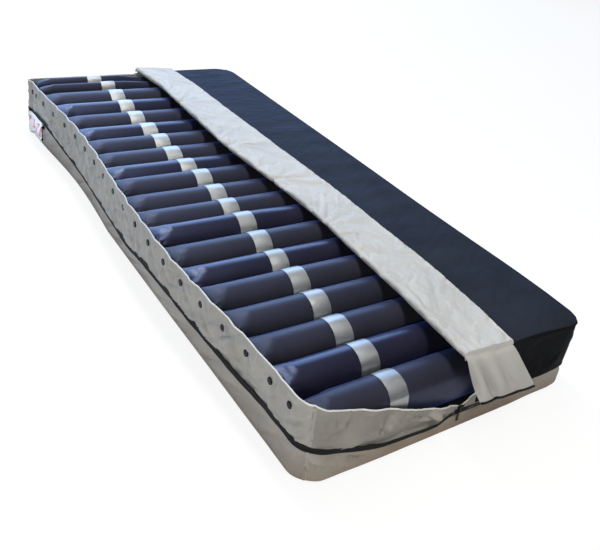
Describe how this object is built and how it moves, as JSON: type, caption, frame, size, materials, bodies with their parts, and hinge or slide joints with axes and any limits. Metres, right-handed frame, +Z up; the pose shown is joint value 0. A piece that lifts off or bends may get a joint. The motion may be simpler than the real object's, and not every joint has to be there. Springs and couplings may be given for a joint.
{
  "type": "pressure relief mattress",
  "caption": "Hospital mattress of transverse air cells in a grey zipped base cover, its navy top cover half folded back into a pale pack.",
  "frame": {"origin": "middle of the flat underside, on the surface that the mattress lies on", "axes": "+X to the covered right side, +Y from the foot to the head, +Z up"},
  "size_m": [0.8485, 2.0758, 0.2324],
  "materials": {
    "cell_fabric": "satin coated nylon",
    "silver_loop": "silver-grey satin webbing",
    "grey_cloth": "grey polyurethane-coated cloth",
    "edge_binding": "pale bound edge",
    "zip_tape": "black woven tape",
    "zip_coil": "black nylon coil",
    "stud_plastic": "black moulded",
    "foam": "open-cell foam",
    "sheet_cloth": "coated cloth",
    "hose": "pale soft tube",
    "fitting": "grey moulded",
    "tag": "pale glossy film with red marks",
    "navy_cover": "navy stretch cloth",
    "cover_underside": "pale coated underside",
    "slider_metal": "black painted"
  },
  "bodies": {
    "mattress": {"base_sheet": "grey_cloth", "lower_wall_left": "grey_cloth", "lower_wall_right": "grey_cloth", "lower_wall_foot": "grey_cloth", "lower_wall_head": "grey_cloth", "retaining_wall_left": "grey_cloth", "retaining_wall_right": "grey_cloth", "retaining_wall_foot": "grey_cloth", "retaining_wall_head": "grey_cloth", "wall_binding": "edge_binding", "lower_zip_tape": "zip_tape", "lower_zip_coil": "zip_coil", "upper_zip_tape": "zip_tape", "upper_zip_coil": "zip_coil", "stud_caps": "stud_plastic", "stud_sockets": "stud_plastic", "cell_end_tabs": "cell_fabric", "base_pad": "foam", "hold_down_sheet": "sheet_cloth", "cell_loops_static": "silver_loop", "air_hose_a": "hose", "air_hose_b": "hose", "air_hose_static": "hose", "hose_tees": "fitting", "air_inlet_coupling": "fitting", "release_socket": "stud_plastic", "release_tag": "tag", "cover_top_panel": "navy_cover", "cover_skirt_right": "navy_cover", "cover_skirt_foot": "navy_cover", "cover_skirt_head": "navy_cover", "cover_folded_pack": "cover_underside", "cover_flap_foot": "cover_underside", "cover_flap_head": "cover_underside", "air_cell_18": "cell_fabric", "air_cell_19": "cell_fabric", "air_cell_20": "cell_fabric"},
    "cells_a": {"air_cell_01": "cell_fabric", "air_cell_03": "cell_fabric", "air_cell_05": "cell_fabric", "air_cell_07": "cell_fabric", "air_cell_09": "cell_fabric", "air_cell_11": "cell_fabric", "air_cell_13": "cell_fabric", "air_cell_15": "cell_fabric", "air_cell_17": "cell_fabric", "cell_loops_a": "silver_loop"},
    "cells_b": {"air_cell_02": "cell_fabric", "air_cell_04": "cell_fabric", "air_cell_06": "cell_fabric", "air_cell_08": "cell_fabric", "air_cell_10": "cell_fabric", "air_cell_12": "cell_fabric", "air_cell_14": "cell_fabric", "air_cell_16": "cell_fabric", "cell_loops_b": "silver_loop"},
    "slider": {"zip_slider": "slider_metal"},
    "slider_pull": {"zip_pull": "slider_metal"},
    "release_plug": {"release_plug": "stud_plastic"},
    "release_pull": {"release_pull": "stud_plastic"}
  },
  "joints": [
    {"name": "cells_a_vent", "type": "slide", "parent": "mattress", "child": "cells_a", "axis": [0, 0, -1], "range_m": [0, 0.04], "stiffness_N_per_m": 20000, "springref_m": -0.004, "deforming": ["air_cell_01", "air_cell_03", "air_cell_05", "air_cell_07", "air_cell_09", "air_cell_11", "air_cell_13", "air_cell_15", "air_cell_17", "cell_loops_a"]},
    {"name": "cells_b_vent", "type": "slide", "parent": "mattress", "child": "cells_b", "axis": [0, 0, -1], "range_m": [0, 0.04], "stiffness_N_per_m": 20000, "springref_m": -0.004, "deforming": ["air_cell_02", "air_cell_04", "air_cell_06", "air_cell_08", "air_cell_10", "air_cell_12", "air_cell_14", "air_cell_16", "cell_loops_b"]},
    {"name": "zip_slide", "type": "slide", "parent": "mattress", "child": "slider", "axis": [1, 0, 0], "range_m": [0, 0.15]},
    {"name": "zip_pull_swing", "type": "hinge", "parent": "slider", "child": "slider_pull", "pos_m": [0.03, -1.0073, 0.047], "axis": [-1, 0, 0], "range_deg": [0, 120]},
    {"name": "release_plug_slide", "type": "slide", "parent": "mattress", "child": "release_plug", "axis": [-0.9989, -0.046, 0], "range_m": [0, 0.022]},
    {"name": "release_pull_swing", "type": "hinge", "parent": "release_plug", "child": "release_pull", "pos_m": [-0.40943, 0.82968, 0.076], "axis": [-0.046, 0.9989, 0], "range_deg": [0, 100]}
  ]
}
